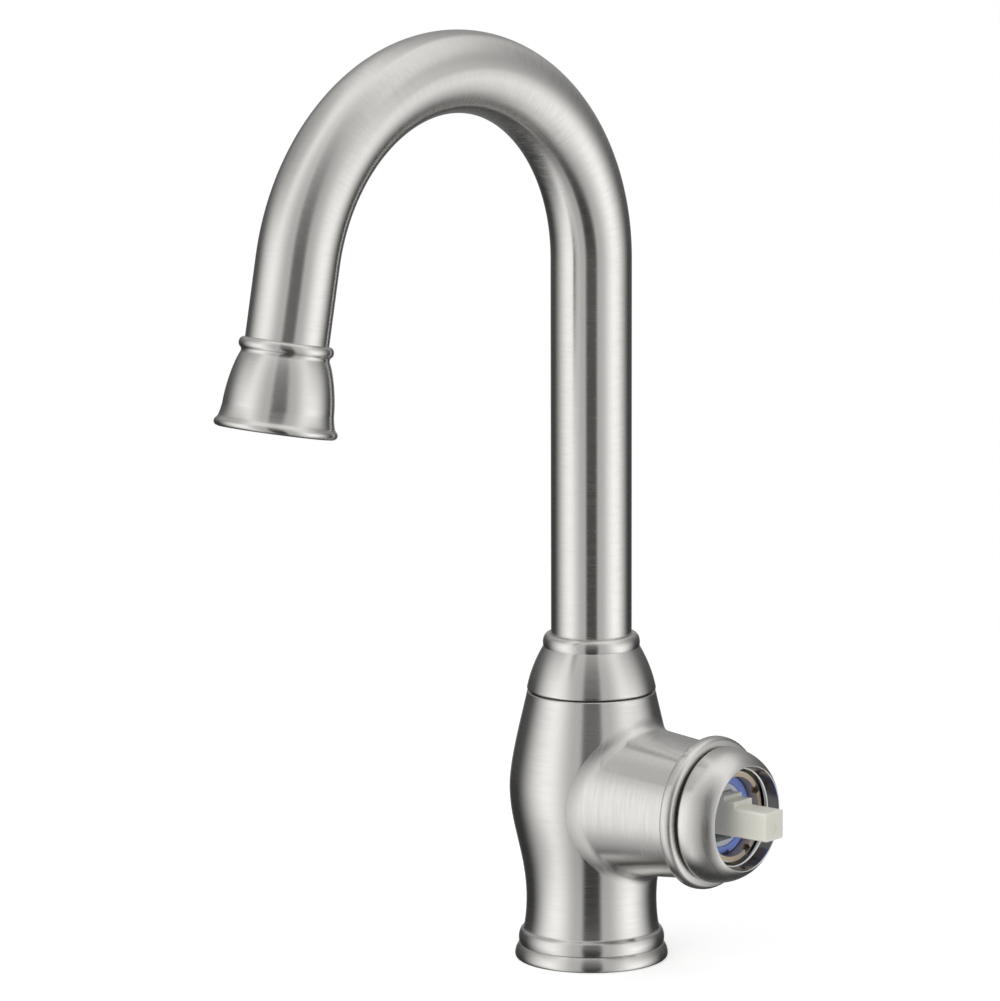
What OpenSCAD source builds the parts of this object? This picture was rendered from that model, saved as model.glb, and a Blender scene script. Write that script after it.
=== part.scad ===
// Bar faucet: a one-hole brass mixer with a swivelling gooseneck spout and a side valve.
// The origin is the centre of the underside, on the axis of the body. +Z is up, the valve
// points along +X, and the spout reaches towards -Y, swung a little towards -X.

/* [Body] */
// Height of the body from the deck to the swivel seam
body_h = 94.8; // [92:0.1:97]
// Widest diameter of the vase, at the height of the valve
belly_d = 57; // [56:0.5:60]
// Narrowest diameter of the vase, above the foot
waist_d = 45.4; // [44:0.2:47]
// Height of the waist above the deck
waist_z = 21; // [19:0.5:23]
// Diameter of the top of the body, at the seam
top_d = 44.8; // [44:0.2:47]
// Largest diameter of the foot
foot_d = 53.4; // [52:0.1:56]
// Height of the plain skirt of the foot
skirt_h = 5.3; // [4:0.1:7]
// Height of the rounded bead above the skirt
foot_bead_h = 5.6; // [4.6:0.2:7]

/* [Branch and valve cap] */
// Distance from the swivel seam down to the valve axis
valve_drop = 36.3; // [35:0.1:38]
// Distance from the body axis to the front face of the branch flange
branch_reach = 54.8; // [53:0.1:58]
// Diameter of the branch just behind the flange
branch_d = 46.6; // [45:0.2:48]
// Depth of the branch's wide root below the widest part of the vase
root_sink = 0.25; // [0.2:0.05:2]
// Reach of the soft blend at the top and bottom of the branch
blend_top = 4; // [2:0.5:6]
// Reach of the soft blend at the sides of the branch
blend_side = 9; // [6:0.5:12]
// Diameter of the branch flange
flange_d = 53.2; // [51:0.1:56]
// Thickness of the branch flange
flange_t = 4.6; // [3:0.2:6]
// Diameter of the threaded boss in front of the flange
boss_d = 43.2; // [42.6:0.1:44]
// Length of the threaded boss in front of the flange
boss_len = 4.6; // [4:0.1:6]
// Diameter of the valve cap at its base
cap_d = 47.2; // [46:0.2:49]
// Height of the valve cap over its base
cap_h = 12.2; // [11.5:0.1:14]
// Diameter of the opening of the valve cap
cap_open_d = 36.2; // [35:0.2:38]
// Diameter of the lip inside the valve cap, around the nut
cap_lip_d = 33.3; // [32.8:0.1:34]
// Gap between the flange and the valve cap, which the cap seal fills
cap_gap = 1.2; // [0.8:0.1:1.6]

/* [Cartridge] */
// Outer diameter of the cartridge shell
cart_d = 35; // [34:0.5:35.6]
// Depth of the cartridge shoulder below the flange's front face
nut_sink = 5.4; // [4:0.2:7]
// Thread diameter of the cartridge nut
nut_thread_d = 38; // [37:0.2:39]
// Height of the threaded part of the nut
nut_thread_h = 8.6; // [7:0.2:9.6]
// Outer diameter of the nut's collar
nut_collar_d = 31.9; // [31:0.1:32.6]
// Height of the nut's collar above its thread
nut_collar_h = 4.5; // [3:0.1:5]
// Bore of the nut
nut_bore_d = 27.8; // [27.4:0.1:28.4]
// Width of the four spanner slots in the nut
slot_w = 2.8; // [2:0.1:4]
// Wall of the cartridge shell
shell_wall = 1.5; // [1:0.1:2]
// Thickness of the shell's shoulder
shoulder_t = 1.8; // [1.4:0.1:2.4]
// Diameter of the shell's collar, which carries the limit ring
collar_tube_d = 27; // [26:0.1:27.4]
// Height of the shell's collar above the shoulder
collar_tube_h = 6; // [5:0.5:7]
// Outer diameter of the limit ring
limit_d = 27.2; // [26.6:0.1:27.6]
// Height of the limit ring
limit_h = 3; // [2:0.5:4]
// Diameter of the rotor's neck
rotor_d = 22; // [21.6:0.2:22.4]
// Height of the rotor's flange inside the shell
rotor_flange_h = 5.8; // [5:0.2:7]
// Height of the rotor's neck above its flange
rotor_neck_h = 10.1; // [9:0.1:11]
// Thickness of the fixed ceramic disc
fixed_disc_t = 4; // [3:0.5:5]
// Thickness of the moving ceramic disc
moving_disc_t = 4; // [3.6:0.2:5]
// Diameter of the moving ceramic disc
moving_disc_d = 25; // [24:0.5:26]
// Thickness of the disc carrier
carrier_t = 4.7; // [4.6:0.1:6]
// Thickness of the cartridge's base plate
base_plate_t = 3.4; // [3:0.2:5]
// Radius of the circle that the three water ports lie on
port_circle_r = 9; // [8.6:0.1:9.6]
// Diameter of each water port
port_d = 5.6; // [5:0.1:6]
// Free height of the three port seals
port_seal_t = 0.8; // [0.6:0.1:1.2]

/* [Lever stem] */
// Side of the square stem that takes the handle
stem_side = 10; // [9:0.2:10.4]
// Length of the square stem in front of the root
stem_len = 13.3; // [10:0.1:16]
// Height of the root's thick block above the valve axis
root_top = 7.8; // [7:0.1:8]
// Height of the root's lower shelf above the valve axis
shelf_top = 6.4; // [5:0.1:7]
// Distance that the stem's centre lies below the valve axis
stem_drop = 0.75; // [0:0.05:1]
// Distance from the pin to the front end of the root's thick block
block_out = 10; // [9:0.1:11]
// Distance from the pin to the front end of the root's shelf
shelf_out = 14.4; // [13:0.1:16]
// Diameter of the lever's pivot pin
pin_d = 3; // [2.6:0.1:3.4]
// Distance from the rotor's front face down to the pin
pin_depth = 5.6; // [5:0.1:6.4]
// Diameter of the ball at the lever's inner end
ball_d = 5.2; // [4.6:0.1:5.8]
// Tilt of the lever from closed, as drawn, to fully open
tilt_max = 25; // [10:1:26]

/* [Spout] */
// Outer diameter of the spout tube
tube_d = 28; // [27:0.1:28.4]
// Wall of the spout tube
tube_wall = 1.2; // [0.8:0.1:2]
// Height from the seam to the start of the arch
riser_h = 151.3; // [100:0.1:220]
// Radius of the arch at the middle of the tube
arch_r = 70.3; // [55:0.1:90]
// Angle that the arch turns through
arch_sweep = 168.9; // [150:0.1:175]
// Straight length between the arch and the outlet bell
leg_len = 26.4; // [18:0.1:50]
// Swing of the spout at rest, from square to the valve
spout_swing = 5.3; // [0:0.1:45]
// Depth of the tube in its two sockets
socket_depth = 11.6; // [8:0.1:12]

/* [Spout collar and swivel] */
// Largest diameter of the bell-shaped collar, at the seam
collar_d = 44.8; // [44:0.2:47]
// Height of the collar below its bead
collar_h = 15.2; // [14:0.2:17]
// Diameter of the collar just below its bead
collar_neck_d = 33.4; // [32.8:0.1:34]
// Diameter of the bead on top of the collar
collar_bead_d = 33.7; // [33.4:0.1:35]
// Height of the bead on top of the collar
collar_bead_h = 4.6; // [4:0.1:6]
// Thickness of the glide ring in the seam
glide_t = 0.5; // [0.3:0.1:1.2]
// Diameter of the glide ring
glide_d = 42; // [40:0.2:43]
// Bore of the body that the swivel turns in
swivel_bore_d = 26; // [25:0.2:26.6]
// Depth of the swivel bore below the seam
swivel_depth = 24.5; // [23:0.1:26]
// Waterway through the swivel
waterway_d = 17; // [15:0.5:18]
// Thickness of each swivel seal ring
seal_ring_t = 2.44; // [2:0.02:2.6]

/* [Outlet] */
// Largest diameter of the bell's rim
rim_d = 41.3; // [40:0.1:43]
// Diameter of the bell above the flare of its rim
bell_low_d = 37.2; // [36:0.2:39]
// Diameter of the bell just below its top bead
bell_neck_d = 29.5; // [29:0.1:30.5]
// Diameter of the bell's top bead
bell_bead_d = 31.7; // [31:0.1:33]
// Height of the bell's top bead
bell_bead_h = 4.4; // [3.8:0.1:5]
// Whole height of the bell
bell_h = 30.5; // [28:0.1:36]
// Depth of the recess inside the rim
rim_recess = 3; // [2.2:0.1:3.4]
// Thread diameter of the aerator
aerator_d = 24; // [22:0.5:26]
// Height of the aerator's threaded part
aerator_h = 8.4; // [7.6:0.1:9]

/* [Deck fixings] */
// Thread core diameter of the two hose connections
hose_core_d = 9.1; // [8.6:0.1:9.6]
// Depth of each hose thread
hose_depth = 14; // [10:1:18]
// Thread core diameter of the fixing stud's hole
stud_core_d = 6.8; // [6:0.1:8]
// Depth of the fixing stud's hole
stud_depth = 16; // [12:1:20]
// Distance of the stud's hole behind the body axis
stud_back = 13; // [12:0.5:14]
// Distance of the hose connections in front of the body axis
inlet_x = 6; // [4:0.5:8]
// Outer diameter of the deck gasket
gasket_d = 48.4; // [47:0.2:49.6]
// Width of the deck gasket
gasket_w = 3.2; // [2:0.2:4]
// Thickness of the deck gasket
gasket_t = 2; // [1.5:0.1:3]

/* [Hidden] */
$fn = 96;

// Clearances
run_gap = 0.05;
fit_gap = 0.05;
side_gap = 0.15;
end_gap = 0.1;
bury = 0.05;
past = 1;

// Finishes
nickel = [0.72, 0.71, 0.69];
brass = [0.72, 0.60, 0.38];
steel = [0.62, 0.64, 0.66];
rubber = [0.12, 0.12, 0.12];
ceramic = [0.93, 0.92, 0.88];
white_plastic = [0.86, 0.88, 0.82];
grey_plastic = [0.55, 0.57, 0.60];
dark_plastic = [0.08, 0.08, 0.09];
blue_plastic = [0.30, 0.42, 0.85];

// Curves: points of a quadratic and a cubic curve, without their first point
function quad_at(a, b, c, t) = (1 - t) * (1 - t) * a + 2 * (1 - t) * t * b + t * t * c;
function quad(a, b, c, n) = [for (i = [1 : n]) quad_at(a, b, c, i / n)];
function cubic(a, b, c, d, n) = [for (i = [1 : n])
    let (t = i / n, s = 1 - t) s * s * s * a + 3 * s * s * t * b + 3 * s * t * t * c + t * t * t * d];

// Body outline, as radius and height, from the foot to the seam
valve_z = body_h - valve_drop;
curve_steps = 12;
foot_r = foot_d / 2;
edge_r = 1.2;
crease_w = 0.25;
waist_r = waist_d / 2;
belly_r = belly_d / 2;
top_r = top_d / 2;
bead_top_z = skirt_h + foot_bead_h;
skirt_top_r = foot_r - 1.35;
waist_rise = 16;
belly_fall = 14;
belly_lift = 2.5;
cove_rise = 4.1;
shoulder_rise = 12;
neck_fall = 8.5;
neck_flare = 1.7;
body_outline = concat(
    [[foot_r - edge_r, 0]],
    quad([foot_r - edge_r, 0], [foot_r, 0], [foot_r, edge_r + 0.2], 4),
    quad([foot_r, edge_r + 0.2], [foot_r - 0.05, 0.6 * skirt_h], [skirt_top_r, skirt_h - crease_w], 5),
    [[skirt_top_r - 2 * crease_w, skirt_h]],
    [[skirt_top_r - 0.1, skirt_h + crease_w]],
    quad([skirt_top_r - 0.1, skirt_h + crease_w], [skirt_top_r + 0.27, skirt_h + 0.37 * foot_bead_h],
        [skirt_top_r - 0.2, skirt_h + 0.62 * foot_bead_h], 5),
    quad([skirt_top_r - 0.2, skirt_h + 0.62 * foot_bead_h], [skirt_top_r - 0.5, bead_top_z - 0.8],
        [waist_r + 1.3, bead_top_z - 0.45], 4),
    quad([waist_r + 1.3, bead_top_z - 0.45], [waist_r + 0.85, bead_top_z - 0.15],
        [waist_r + 0.8, bead_top_z + 0.7], 3),
    quad([waist_r + 0.8, bead_top_z + 0.7], [waist_r + 0.1, bead_top_z + cove_rise], [waist_r, waist_z], 5),
    cubic([waist_r, waist_z], [waist_r, waist_z + waist_rise],
        [belly_r, valve_z + belly_lift - belly_fall], [belly_r, valve_z + belly_lift], curve_steps),
    cubic([belly_r, valve_z + belly_lift], [belly_r, valve_z + shoulder_rise],
        [top_r + neck_flare, body_h - neck_fall], [top_r, body_h - 0.3], curve_steps),
    [[top_r - 0.3, body_h]]);
function body_r(z) = lookup(z, [for (p = body_outline) [p[1], p[0]]]);

// Places along the valve axis, from the body axis outwards
flange_back_x = branch_reach - flange_t;
boss_end_x = branch_reach + boss_len;
cap_base_x = branch_reach + cap_gap;
cap_end_x = cap_base_x + cap_h;
shoulder_x = branch_reach - nut_sink;
nut_step_x = shoulder_x + nut_thread_h;
nut_face_x = nut_step_x + nut_collar_h;
limit_base_x = shoulder_x + collar_tube_h;
limit_face_x = limit_base_x + limit_h;
rotor_step_x = shoulder_x - shoulder_t - end_gap;
rotor_base_x = rotor_step_x - rotor_flange_h;
rotor_face_x = rotor_step_x + rotor_neck_h;
carrier_top_x = rotor_base_x - 3 * end_gap;
carrier_base_x = carrier_top_x - carrier_t;
moving_base_x = carrier_base_x - moving_disc_t;
fixed_base_x = moving_base_x - fixed_disc_t;
disc_seal_t = 0.5;
plate_top_x = fixed_base_x - disc_seal_t;
plate_base_x = plate_top_x - base_plate_t;
seat_x = plate_base_x - port_seal_t;

// Sizes around the valve axis
branch_r0 = branch_d / 2;
root_r = belly_r - root_sink;
function branch_r(x) = root_r + (branch_r0 - root_r) * x / flange_back_x;
cart_r = cart_d / 2;
cavity_r = cart_r + 2 * end_gap;
shell_in_r = cart_r - shell_wall;
rotor_r = rotor_d / 2;
rotor_flange_r = shell_in_r - 3 * end_gap;
thread_r = nut_thread_d / 2;
cap_r = cap_d / 2;

// Lever: half sizes, its pin, its ball and the slot that it swings in
pin_x = rotor_face_x - pin_depth;
pin_r = pin_d / 2;
ball_r = ball_d / 2;
stem_half = stem_side / 2;
root_low = stem_drop + stem_half;
root_inner = 3.5;
heel = 2;
ball_x = carrier_top_x - 1.4;
ball_arm = pin_x - ball_x;
slot_top = norm([root_top, root_inner - heel]) + 2 * side_gap;
slot_low = (root_low + pin_depth * sin(tilt_max)) / cos(tilt_max) + side_gap;
disc_shift = ball_arm * sin(tilt_max / 2);

// Water ports: outlet at the top, the two inlets below it
port_angles = [180, 60, -60];
port_r = port_d / 2;
inlet_y = port_circle_r * sin(60);
inlet_z = valve_z - port_circle_r * cos(60);
outlet_z = valve_z + port_circle_r;

// Swivel: heights from the deck
swivel_r = swivel_bore_d / 2;
tail_r = swivel_r - run_gap;
waterway_r = waterway_d / 2;
bore_floor_z = body_h - swivel_depth;
tail_foot_z = bore_floor_z + 5 * end_gap;
groove_w = seal_ring_t + 0.8;
lower_seal_z = tail_foot_z + 2 + groove_w / 2;
upper_seal_z = lower_seal_z + groove_w + 3;
clip_t = 1.2;
clip_z = upper_seal_z + groove_w / 2 + 4;
clip_out_r = swivel_r + 0.9;
clip_in_r = swivel_r - 1.5;
collar_base_z = body_h + glide_t + end_gap;
collar_crease_z = collar_base_z + collar_h;
collar_top_z = collar_crease_z + collar_bead_h;
tube_foot_z = collar_top_z - socket_depth;
tail_top_z = tube_foot_z - 2 * end_gap;

// Spout
tube_r = tube_d / 2;
tube_in_r = tube_r - tube_wall;
arch_z = body_h + riser_h;

// Outlet: places along the bell, from its top bead
bell_socket = socket_depth;
aerator_r = aerator_d / 2;
aerator_seat_s = bell_h - rim_recess - aerator_h;
washer_t = 1.6;
bell_water_r = aerator_r - 3;
aerator_in_r = aerator_r - 1.6;

// Puts its children on the valve axis, with their z along +X and their -x upwards
module on_valve() {
    translate([0, 0, valve_z]) rotate([0, 90, 0]) children();
}

// Puts its children in the spout's plane, with x along its reach
module on_spout() {
    rotate([0, 0, -90 - spout_swing]) children();
}

// Puts its children at the end of the spout, with z along the water's way out
module on_outlet() {
    on_spout()
        translate([arch_r * (1 - cos(arch_sweep)), 0, arch_z + arch_r * sin(arch_sweep)])
            rotate([0, arch_sweep, 0]) translate([0, 0, leg_len]) children();
}

// A ring: outer and inner radius, its foot and its height
module ring(ro, ri, z, h) {
    translate([0, 0, z]) difference() {
        cylinder(r = ro, h = h);
        translate([0, 0, -past]) cylinder(r = ri, h = h + 2 * past);
    }
}

// A round ring of cord: middle radius, cord diameter and height of its middle
module cord_ring(r, d, z) {
    translate([0, 0, z]) rotate_extrude() translate([r, 0]) circle(d = d, $fn = 32);
}

// The blend between the branch and the vase, worked out around the branch's axis.
// Each section runs along the branch, round a curve and up the vase.
blend_parts = 40;
blend_steps = 5;
function meet_x(t, r, n) = n == 0 ? sqrt(max(1, pow(body_r(valve_z + r * sin(t)), 2) - pow(r * cos(t), 2)))
    : meet_x(t, branch_r(meet_x(t, r, 0)), n - 1);
function on_branch(t, x, sink) = [x, (branch_r(x) - sink) * cos(t), valve_z + (branch_r(x) - sink) * sin(t)];
function on_vase(around, z, sink) = [(body_r(z) - sink) * cos(around), (body_r(z) - sink) * sin(around), z];
function blend_section(t) =
    let (reach = blend_top + (blend_side - blend_top) * pow(cos(t), 2),
        x = meet_x(t, root_r, 6),
        p = on_branch(t, x, 0),
        around = atan2(p[1], p[0]),
        arc = around * PI / 180 * belly_r,
        rise = p[2] - valve_z,
        grow = 1 + reach / norm([arc, rise]),
        a = on_branch(t, x + reach, bury),
        b = on_vase(around * grow, valve_z + rise * grow, bury),
        inner = [x - 4, (branch_r(x) - 4) * cos(t), valve_z + (branch_r(x) - 4) * sin(t)])
    concat([inner, a], quad(a, p, b, blend_steps));
module branch_blend() {
    sections = [for (k = [0 : blend_parts - 1]) blend_section(360 * k / blend_parts)];
    n = len(sections[0]);
    polyhedron(
        points = [for (s = sections) each s],
        faces = [for (k = [0 : blend_parts - 1], i = [0 : n - 1], half = [0, 1])
            let (a = k * n + i, b = k * n + (i + 1) % n,
                c = ((k + 1) % blend_parts) * n + (i + 1) % n, d = ((k + 1) % blend_parts) * n + i)
            half == 0 ? [a, b, c] : [a, c, d]]);
}

// The flange at the mouth of the branch: a rounded rim with a flat front
module branch_flange() {
    r = flange_d / 2;
    rotate_extrude() polygon(concat(
        [[branch_r0 - 2, flange_back_x], [r - 1.3, flange_back_x]],
        quad([r - 1.3, flange_back_x], [r, flange_back_x], [r, flange_back_x + 0.3 * flange_t], 4),
        quad([r, flange_back_x + 0.3 * flange_t], [r, branch_reach - 0.6], [r - 1.4, branch_reach], 5),
        [[branch_r0 - 2, branch_reach]]));
}

// Cast and turned brass body: vase, branch, flange and boss, with its bores and waterways
module body() {
    color(nickel) difference() {
        union() {
            rotate_extrude() polygon(concat([[0, 0]], body_outline, [[0, body_h]]));
            branch_blend();
            on_valve() {
                cylinder(r1 = branch_r(0), r2 = branch_r(flange_back_x + 1), h = flange_back_x + 1);
                branch_flange();
                cylinder(d = boss_d, h = boss_end_x);
            }
        }
        body_waterways();
        on_valve() {
            translate([0, 0, seat_x]) cylinder(r = cavity_r, h = boss_end_x);
            translate([0, 0, shoulder_x]) cylinder(r = thread_r, h = boss_end_x);
        }
        translate([0, 0, bore_floor_z]) cylinder(r = swivel_r, h = body_h);
        translate([0, 0, clip_z - clip_t / 2 - end_gap]) cylinder(r = clip_out_r + end_gap, h = clip_t + 2 * end_gap);
        ring(gasket_d / 2, gasket_d / 2 - gasket_w, -past, gasket_t + past);
        translate([-stud_back, 0, -past]) cylinder(d = stud_core_d, h = stud_depth + past);
        for (side = [-1, 1]) translate([inlet_x, side * inlet_y, -past]) cylinder(d = hose_core_d, h = hose_depth + past);
    }
}

// Drilled ways from the hoses to the cartridge seat and from the seat up to the swivel,
// with the blind holes for the cartridge's two pegs
module body_waterways() {
    for (side = [-1, 1]) translate([inlet_x, side * inlet_y, 0]) cylinder(r = port_r, h = inlet_z);
    on_valve() {
        for (side = [-1, 1]) translate([valve_z - inlet_z, side * inlet_y, inlet_x - port_r]) cylinder(r = port_r, h = seat_x);
        translate([valve_z - outlet_z, 0, 0]) cylinder(r = port_r, h = seat_x + past);
        for (side = [-1, 1]) translate([-peg_drop, side * peg_y, seat_x - peg_len]) cylinder(r = peg_r + end_gap, h = peg_len + past);
    }
    translate([0, 0, outlet_z - port_r - 2]) cylinder(r = waterway_r, h = bore_floor_z - outlet_z + port_r + 3);
}

// Locating pegs under the cartridge, level with its middle and off to its sides
peg_r = 1.9;
peg_len = 2;
peg_y = 13.4;
peg_drop = 4;

module deck_gasket() {
    color(rubber) ring(gasket_d / 2 - fit_gap, gasket_d / 2 - gasket_w + fit_gap, 0, gasket_t);
}

module glide_ring() {
    color(dark_plastic) ring(glide_d / 2, swivel_r + 1, body_h, glide_t);
}

// Split spring ring that holds the swivel down
module retaining_ring() {
    split_w = 3;
    color(steel) difference() {
        ring(clip_out_r, clip_in_r, clip_z - clip_t / 2, clip_t);
        translate([-swivel_r - 3, -split_w / 2, clip_z - clip_t]) cube([clip_out_r - clip_in_r + 4, split_w, 2 * clip_t]);
    }
}

module swivel_seal(z) {
    color(rubber) cord_ring(swivel_r - 0.03 - seal_ring_t / 2, seal_ring_t, z);
}
module upper_swivel_seal() { swivel_seal(upper_seal_z); }
module lower_swivel_seal() { swivel_seal(lower_seal_z); }

// Turned brass tail that turns in the body and screws into the collar
module spout_tail() {
    groove_r = swivel_r - 0.03 - seal_ring_t - 0.03;
    color(brass) difference() {
        translate([0, 0, tail_foot_z]) cylinder(r = tail_r, h = tail_top_z - tail_foot_z);
        translate([0, 0, tail_foot_z - past]) cylinder(r = waterway_r, h = tail_top_z - tail_foot_z + 2 * past);
        for (z = [lower_seal_z, upper_seal_z]) ring(tail_r + past, groove_r, z - groove_w / 2, groove_w);
        ring(tail_r + past, clip_in_r - 2 * end_gap, clip_z - clip_t / 2 - 2 * end_gap, clip_t + 4 * end_gap);
    }
}

// Bell-shaped collar under the tube, with its bead
module spout_collar() {
    cr = collar_d / 2;
    nr = collar_neck_d / 2;
    br = collar_bead_d / 2;
    base = [cr - 0.35, collar_base_z];
    bead_mid_z = collar_crease_z + 0.35 * collar_bead_h;
    color(nickel) rotate_extrude() polygon(concat(
        [[tail_r + fit_gap, collar_base_z], base],
        quad(base, [cr, collar_base_z], [cr, collar_base_z + 0.6], 3),
        quad([cr, collar_base_z + 0.6], [cr - 1.55, collar_base_z + 0.54 * collar_h], [nr, collar_crease_z], curve_steps),
        quad([nr, collar_crease_z], [br, collar_crease_z + 0.3], [br, bead_mid_z], 4),
        quad([br, bead_mid_z], [br - 0.2, collar_top_z - 0.2], [tube_r + 0.5, collar_top_z], 7),
        [[tube_r + fit_gap, collar_top_z - 0.3], [tube_r + fit_gap, tube_foot_z], [tail_r + fit_gap, tube_foot_z]]));
}

module tube_section() {
    difference() {
        circle(r = tube_r);
        circle(r = tube_in_r);
    }
}

// Bent tube: riser, arch and leg, seated in the collar and in the bell.
// The arch is turned from both of its ends, and the two stretches lap in the middle.
module spout_tube() {
    color(nickel) on_spout() {
        translate([0, 0, arch_z]) mirror([0, 0, 1]) linear_extrude(arch_z - tube_foot_z) tube_section();
        translate([arch_r, 0, arch_z]) {
            rotate([90, 0, 180]) arch_stretch();
            rotate([0, arch_sweep, 0]) {
                rotate([90, 180, 0]) arch_stretch();
                translate([-arch_r, 0, 0]) linear_extrude(leg_len + bell_socket) tube_section();
            }
        }
    }
}

// Three quarters of the arch, in steps that fall on those of the stretch from the other end
module arch_stretch() {
    turn = arch_sweep * 3 / 4;
    steps = 36;
    rotate_extrude(angle = turn, $fn = (steps - 0.5) * 360 / turn) translate([arch_r, 0]) tube_section();
}

// Outlet bell: bead, flared skirt and rim, bored for the tube and the aerator
module outlet_bell() {
    nr = bell_neck_d / 2;
    br = bell_bead_d / 2;
    lr = bell_low_d / 2;
    rr = rim_d / 2;
    low_s = bell_h - 7.6;
    flare_s = bell_h - 3.5;
    rim_s = bell_h - 2.5;
    color(nickel) on_outlet() rotate_extrude() polygon(concat(
        [[tube_r + fit_gap, 0.4], [tube_r + 0.3, 0.2]],
        quad([tube_r + 0.3, 0.2], [br - 0.1, 0.4], [br, bell_bead_h / 2], 6),
        quad([br, bell_bead_h / 2], [br, 0.75 * bell_bead_h], [nr + 0.25, 0.88 * bell_bead_h], 4),
        quad([nr + 0.25, 0.88 * bell_bead_h], [nr - 0.1, bell_bead_h], [nr + 0.1, bell_bead_h + 0.8], 3),
        cubic([nr + 0.1, bell_bead_h + 0.8], [nr + 2.1, bell_bead_h + 4.8], [lr - 0.15, low_s - 5.4],
            [lr, low_s], curve_steps),
        quad([lr, low_s], [lr + 0.4, low_s + 2.7], [lr + 0.9, flare_s], 4),
        quad([lr + 0.9, flare_s], [rr - 0.85, flare_s + 0.5], [rr - 0.35, rim_s], 3),
        quad([rr - 0.35, rim_s], [rr + 0.3, rim_s + 0.9], [rr - 0.25, bell_h - 0.7], 5),
        quad([rr - 0.25, bell_h - 0.7], [rr - 0.55, bell_h - 0.2], [rr - 1.4, bell_h], 3),
        [[aerator_r + 4.6, bell_h], [aerator_r + 4.6, bell_h - rim_recess]],
        [[aerator_r + fit_gap, bell_h - rim_recess], [aerator_r + fit_gap, aerator_seat_s]],
        [[bell_water_r, aerator_seat_s], [bell_water_r, bell_socket], [tube_r + fit_gap, bell_socket]]));
}

// Screwed ring that holds the aerator, with two spanner flats on its rim
module aerator_housing() {
    flange_r = aerator_r + 1.3;
    flange_h = rim_recess - 0.8;
    s0 = aerator_seat_s + washer_t;
    color(nickel) on_outlet() difference() {
        union() {
            translate([0, 0, s0]) cylinder(r = aerator_r, h = bell_h - rim_recess - s0 + flange_h);
            translate([0, 0, bell_h - rim_recess]) cylinder(r = flange_r, h = flange_h);
        }
        translate([0, 0, s0 - past]) cylinder(r = aerator_in_r, h = aerator_h + rim_recess);
        for (side = [-1, 1]) translate([side * (flange_r + 1.2) - 2, -4, bell_h - rim_recess - past])
            cube([4, 8, flange_h + 2 * past]);
    }
}

// Moulded flow former: a cup with a ring of jets and a star of fins
module aerator_insert() {
    r = aerator_in_r - fit_gap;
    s0 = aerator_seat_s + washer_t;
    h = bell_h - rim_recess - s0;
    wall = 1;
    jets = 12;
    fins = 6;
    color(grey_plastic) on_outlet() {
        ring(r, r - wall, s0, h);
        difference() {
            translate([0, 0, s0]) cylinder(r = r - wall / 2, h = 1.6);
            for (k = [0 : jets - 1]) rotate([0, 0, k * 360 / jets]) translate([r * 0.62, 0, s0 - past])
                cylinder(d = 1.8, h = 1.6 + 2 * past, $fn = 16);
        }
        for (k = [0 : fins / 2 - 1]) rotate([0, 0, k * 180 / (fins / 2)])
            translate([-r + wall / 2, -0.4, s0 + 1.6 - bury]) cube([2 * r - wall, 0.8, h - 3]);
    }
}

// Slotted outlet screen, below the fins of the insert
module aerator_screen() {
    r = aerator_in_r - fit_gap;
    bars = 8;
    t = 1;
    pitch = 2 * r / (bars + 1);
    rim = 1.2;
    color(steel) on_outlet() translate([0, 0, bell_h - rim_recess]) {
        ring(r, r - rim, 0, t);
        for (k = [1 : bars], turn = [0, 90]) rotate([0, 0, turn])
            let (x = -r + k * pitch, y = sqrt(pow(r - rim / 2, 2) - x * x))
            translate([x - 0.3, -y, 0]) cube([0.6, 2 * y, t]);
    }
}

module aerator_washer() {
    color(rubber) on_outlet() ring(aerator_r - fit_gap, bell_water_r, aerator_seat_s, washer_t);
}

// Domed cap over the cartridge nut: bulging outside, a polished funnel and a lip inside
module valve_cap() {
    open_r = cap_open_d / 2;
    lip_r = cap_lip_d / 2;
    seat_r = boss_d / 2 + fit_gap;
    lip_x = cap_end_x - 4.1;
    lip_w = 0.45;
    roof_x = boss_end_x + 2 * end_gap;
    lean = [cap_r, cap_base_x + 0.6];
    color(nickel) on_valve() rotate_extrude() polygon(concat(
        [[seat_r, cap_base_x], [cap_r - 0.6, cap_base_x]],
        quad([cap_r - 0.6, cap_base_x], [cap_r, cap_base_x], lean, 3),
        cubic(lean, [cap_r - 0.1, cap_base_x + 0.52 * cap_h], [open_r + 2.7, cap_end_x - 1.5],
            [open_r + 0.25, cap_end_x], curve_steps),
        [[open_r, cap_end_x - 0.1]],
        quad([open_r, cap_end_x - 0.1], [open_r - 0.2, cap_end_x - 2], [lip_r + lip_w, lip_x], 6),
        [[lip_r, lip_x], [lip_r, lip_x - 1.2], [lip_r + 1.2, lip_x - 2.2], [seat_r - 1.6, roof_x], [seat_r, roof_x]]));
}

// Rubber ring in the gap between the flange and the cap
module cap_seal() {
    cord = cap_gap;
    color(rubber) on_valve() cord_ring(boss_d / 2 + 0.6 * cord, cord, branch_reach + cap_gap / 2);
}

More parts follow.
